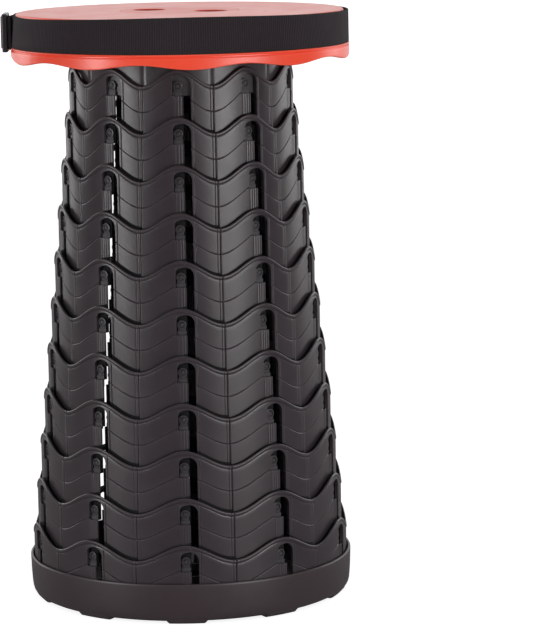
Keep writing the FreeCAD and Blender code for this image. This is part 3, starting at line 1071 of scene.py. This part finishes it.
def make_buckle():
    """A flat slide with two slots and a bar between them."""
    inner = OUTSIDE_BAND + BUCKLE_GAP
    xs = [-13.5, -8.5, -2.5, 2.5, 8.5, 13.5]
    zs = [BUCKLE_LOW, BUCKLE_LOW + 2.0, BUCKLE_HIGH - 2.0, BUCKLE_HIGH]
    points = []
    faces = []
    for out in (inner, inner + BUCKLE_THICKNESS):
        for z in zs:
            for x in xs:
                azimuth = BUCKLE_AZIMUTH + math.degrees(math.atan2(x, out))
                points.append(at(math.hypot(out, x), azimuth, z))

    def index(layer, row, column):
        return layer * 24 + row * 6 + column

    def solid(row, column):
        return 0 <= row < 3 and 0 <= column < 5 and not (row == 1 and column in (1, 3))

    for row in range(3):
        for column in range(5):
            if not solid(row, column):
                continue
            for layer in (0, 1):
                faces.append(
                    (
                        index(layer, row, column),
                        index(layer, row, column + 1),
                        index(layer, row + 1, column + 1),
                        index(layer, row + 1, column),
                    )
                )
            walls = {
                (0, -1): ((row, column), (row + 1, column)),
                (0, 1): ((row, column + 1), (row + 1, column + 1)),
                (-1, 0): ((row, column), (row, column + 1)),
                (1, 0): ((row + 1, column), (row + 1, column + 1)),
            }
            for (up, along), (start, end) in walls.items():
                if not solid(row + up, column + along):
                    faces.append((index(0, *start), index(0, *end), index(1, *end), index(1, *start)))
    made = piece("strap_buckle", points, faces, buckle_black, "seat", "buckle_black", ("buckle",))
    return rounded(made, 0.9, 4, 50.0)


make_band()
make_loop()
make_tail()
make_buckle()


# Floor, light and camera


def flat_sheet(name, corners, finish):
    mesh = bpy.data.meshes.new(name)
    mesh.from_pydata(corners, [], [(0, 1, 2, 3)])
    mesh.materials.append(finish)
    made = bpy.data.objects.new(name, mesh)
    bpy.context.collection.objects.link(made)


def white_sweep(name, glow, glossy_too):
    """White paper that keeps soft shadows; it glows for the camera, and on request in reflections."""
    material, tree, shader = finish_shell(name)
    shader.inputs["Base Color"].default_value = (0.5, 0.5, 0.5, 1.0)
    shader.inputs["Roughness"].default_value = 0.9
    shader.inputs["Specular IOR Level"].default_value = 0.1
    shader.inputs["Emission Color"].default_value = (1.0, 1.0, 1.0, 1.0)
    rays = node(tree, "ShaderNodeLightPath")
    seen = math_node(tree, "MAXIMUM", rays.outputs["Is Camera Ray"], rays.outputs["Is Transmission Ray"])
    if glossy_too:
        seen = math_node(tree, "MAXIMUM", seen, rays.outputs["Is Glossy Ray"])
    tree.links.new(math_node(tree, "MULTIPLY", seen, glow), shader.inputs["Emission Strength"])
    return material


def make_stage():
    size = 6.0
    back = 2.8
    floor = [(-size, -size, 0), (size, -size, 0), (size, back, 0), (-size, back, 0)]
    wall = [(-size, back, 0), (size, back, 0), (size, back, 4.0), (-size, back, 4.0)]
    flat_sheet("floor", floor, white_sweep("white_floor", 0.86, False))
    flat_sheet("backdrop", wall, white_sweep("white_backdrop", 1.0, True))


FILL = 0.28
GLOSSY_FILL = 0.11


def make_world():
    """White for the camera, a soft fill for the surfaces and less of it in their reflections."""
    world = bpy.data.worlds.new("studio")
    bpy.context.scene.world = world
    world.use_nodes = True
    tree = world.node_tree
    back = tree.nodes["Background"]
    back.inputs["Color"].default_value = (1.0, 1.0, 1.0, 1.0)
    rays = node(tree, "ShaderNodeLightPath")
    seen = math_node(tree, "MAXIMUM", rays.outputs["Is Camera Ray"], rays.outputs["Is Transmission Ray"])
    glossy = math_node(tree, "MULTIPLY", rays.outputs["Is Glossy Ray"], GLOSSY_FILL - FILL)
    base = math_node(tree, "ADD", glossy, FILL)
    tree.links.new(math_node(tree, "MAXIMUM", seen, base), back.inputs["Strength"])


def soft_box(name, place, aim, width, height, power):
    lamp = bpy.data.lights.new(name, "AREA")
    lamp.shape = "RECTANGLE"
    lamp.size = width
    lamp.size_y = height
    lamp.energy = power
    made = bpy.data.objects.new(name, lamp)
    bpy.context.collection.objects.link(made)
    made.location = place
    made.rotation_mode = "QUATERNION"
    made.rotation_quaternion = (Vector(aim) - Vector(place)).to_track_quat("-Z", "Y")
    return made


def make_camera():
    """The camera that took the photograph: its place in metres, its turn in radians, its lens in pixels."""
    place = (0.0, -2.301, 0.5739)
    yaw, pitch, roll = 0.0299, 0.1577, -0.0165
    focal_pixels = 3006.6
    picture_height = 644.0
    right = Vector((math.cos(yaw), -math.sin(yaw), 0))
    ahead = Vector((math.sin(yaw) * math.cos(pitch), math.cos(yaw) * math.cos(pitch), -math.sin(pitch)))
    up = right.cross(ahead)
    side = right * math.cos(roll) + up * math.sin(roll)
    top = up * math.cos(roll) - right * math.sin(roll)
    lens = bpy.data.cameras.new("photo_camera")
    lens.sensor_width = 36.0
    lens.sensor_fit = "AUTO"
    lens.lens = focal_pixels * lens.sensor_width / picture_height
    lens.clip_start = 0.05
    lens.clip_end = 50.0
    made = bpy.data.objects.new("photo_camera", lens)
    bpy.context.collection.objects.link(made)
    turn = Matrix((side, top, -ahead)).transposed().to_4x4()
    made.matrix_world = Matrix.Translation(place) @ turn
    bpy.context.scene.camera = made


make_stage()
make_world()
soft_box("left_strip", (-1.58, -1.06, 0.36), (0, 0, 0.28), 0.5, 0.8, 13.0)
soft_box("right_strip", (1.24, -1.44, 0.38), (0, 0, 0.28), 0.8, 0.85, 17.0)
soft_box("left_rear_strip", (-1.50, 1.17, 0.6), (0, 0, 0.35), 0.5, 1.2, 5.0)
soft_box("right_rear_strip", (1.62, 0.98, 0.6), (0, 0, 0.35), 0.6, 1.2, 6.0)
soft_box("top_box", (0.0, -0.4, 2.2), (0, 0, 0.4), 1.4, 1.0, 6.0)
make_camera()
bpy.context.scene.view_settings.view_transform = "Standard"
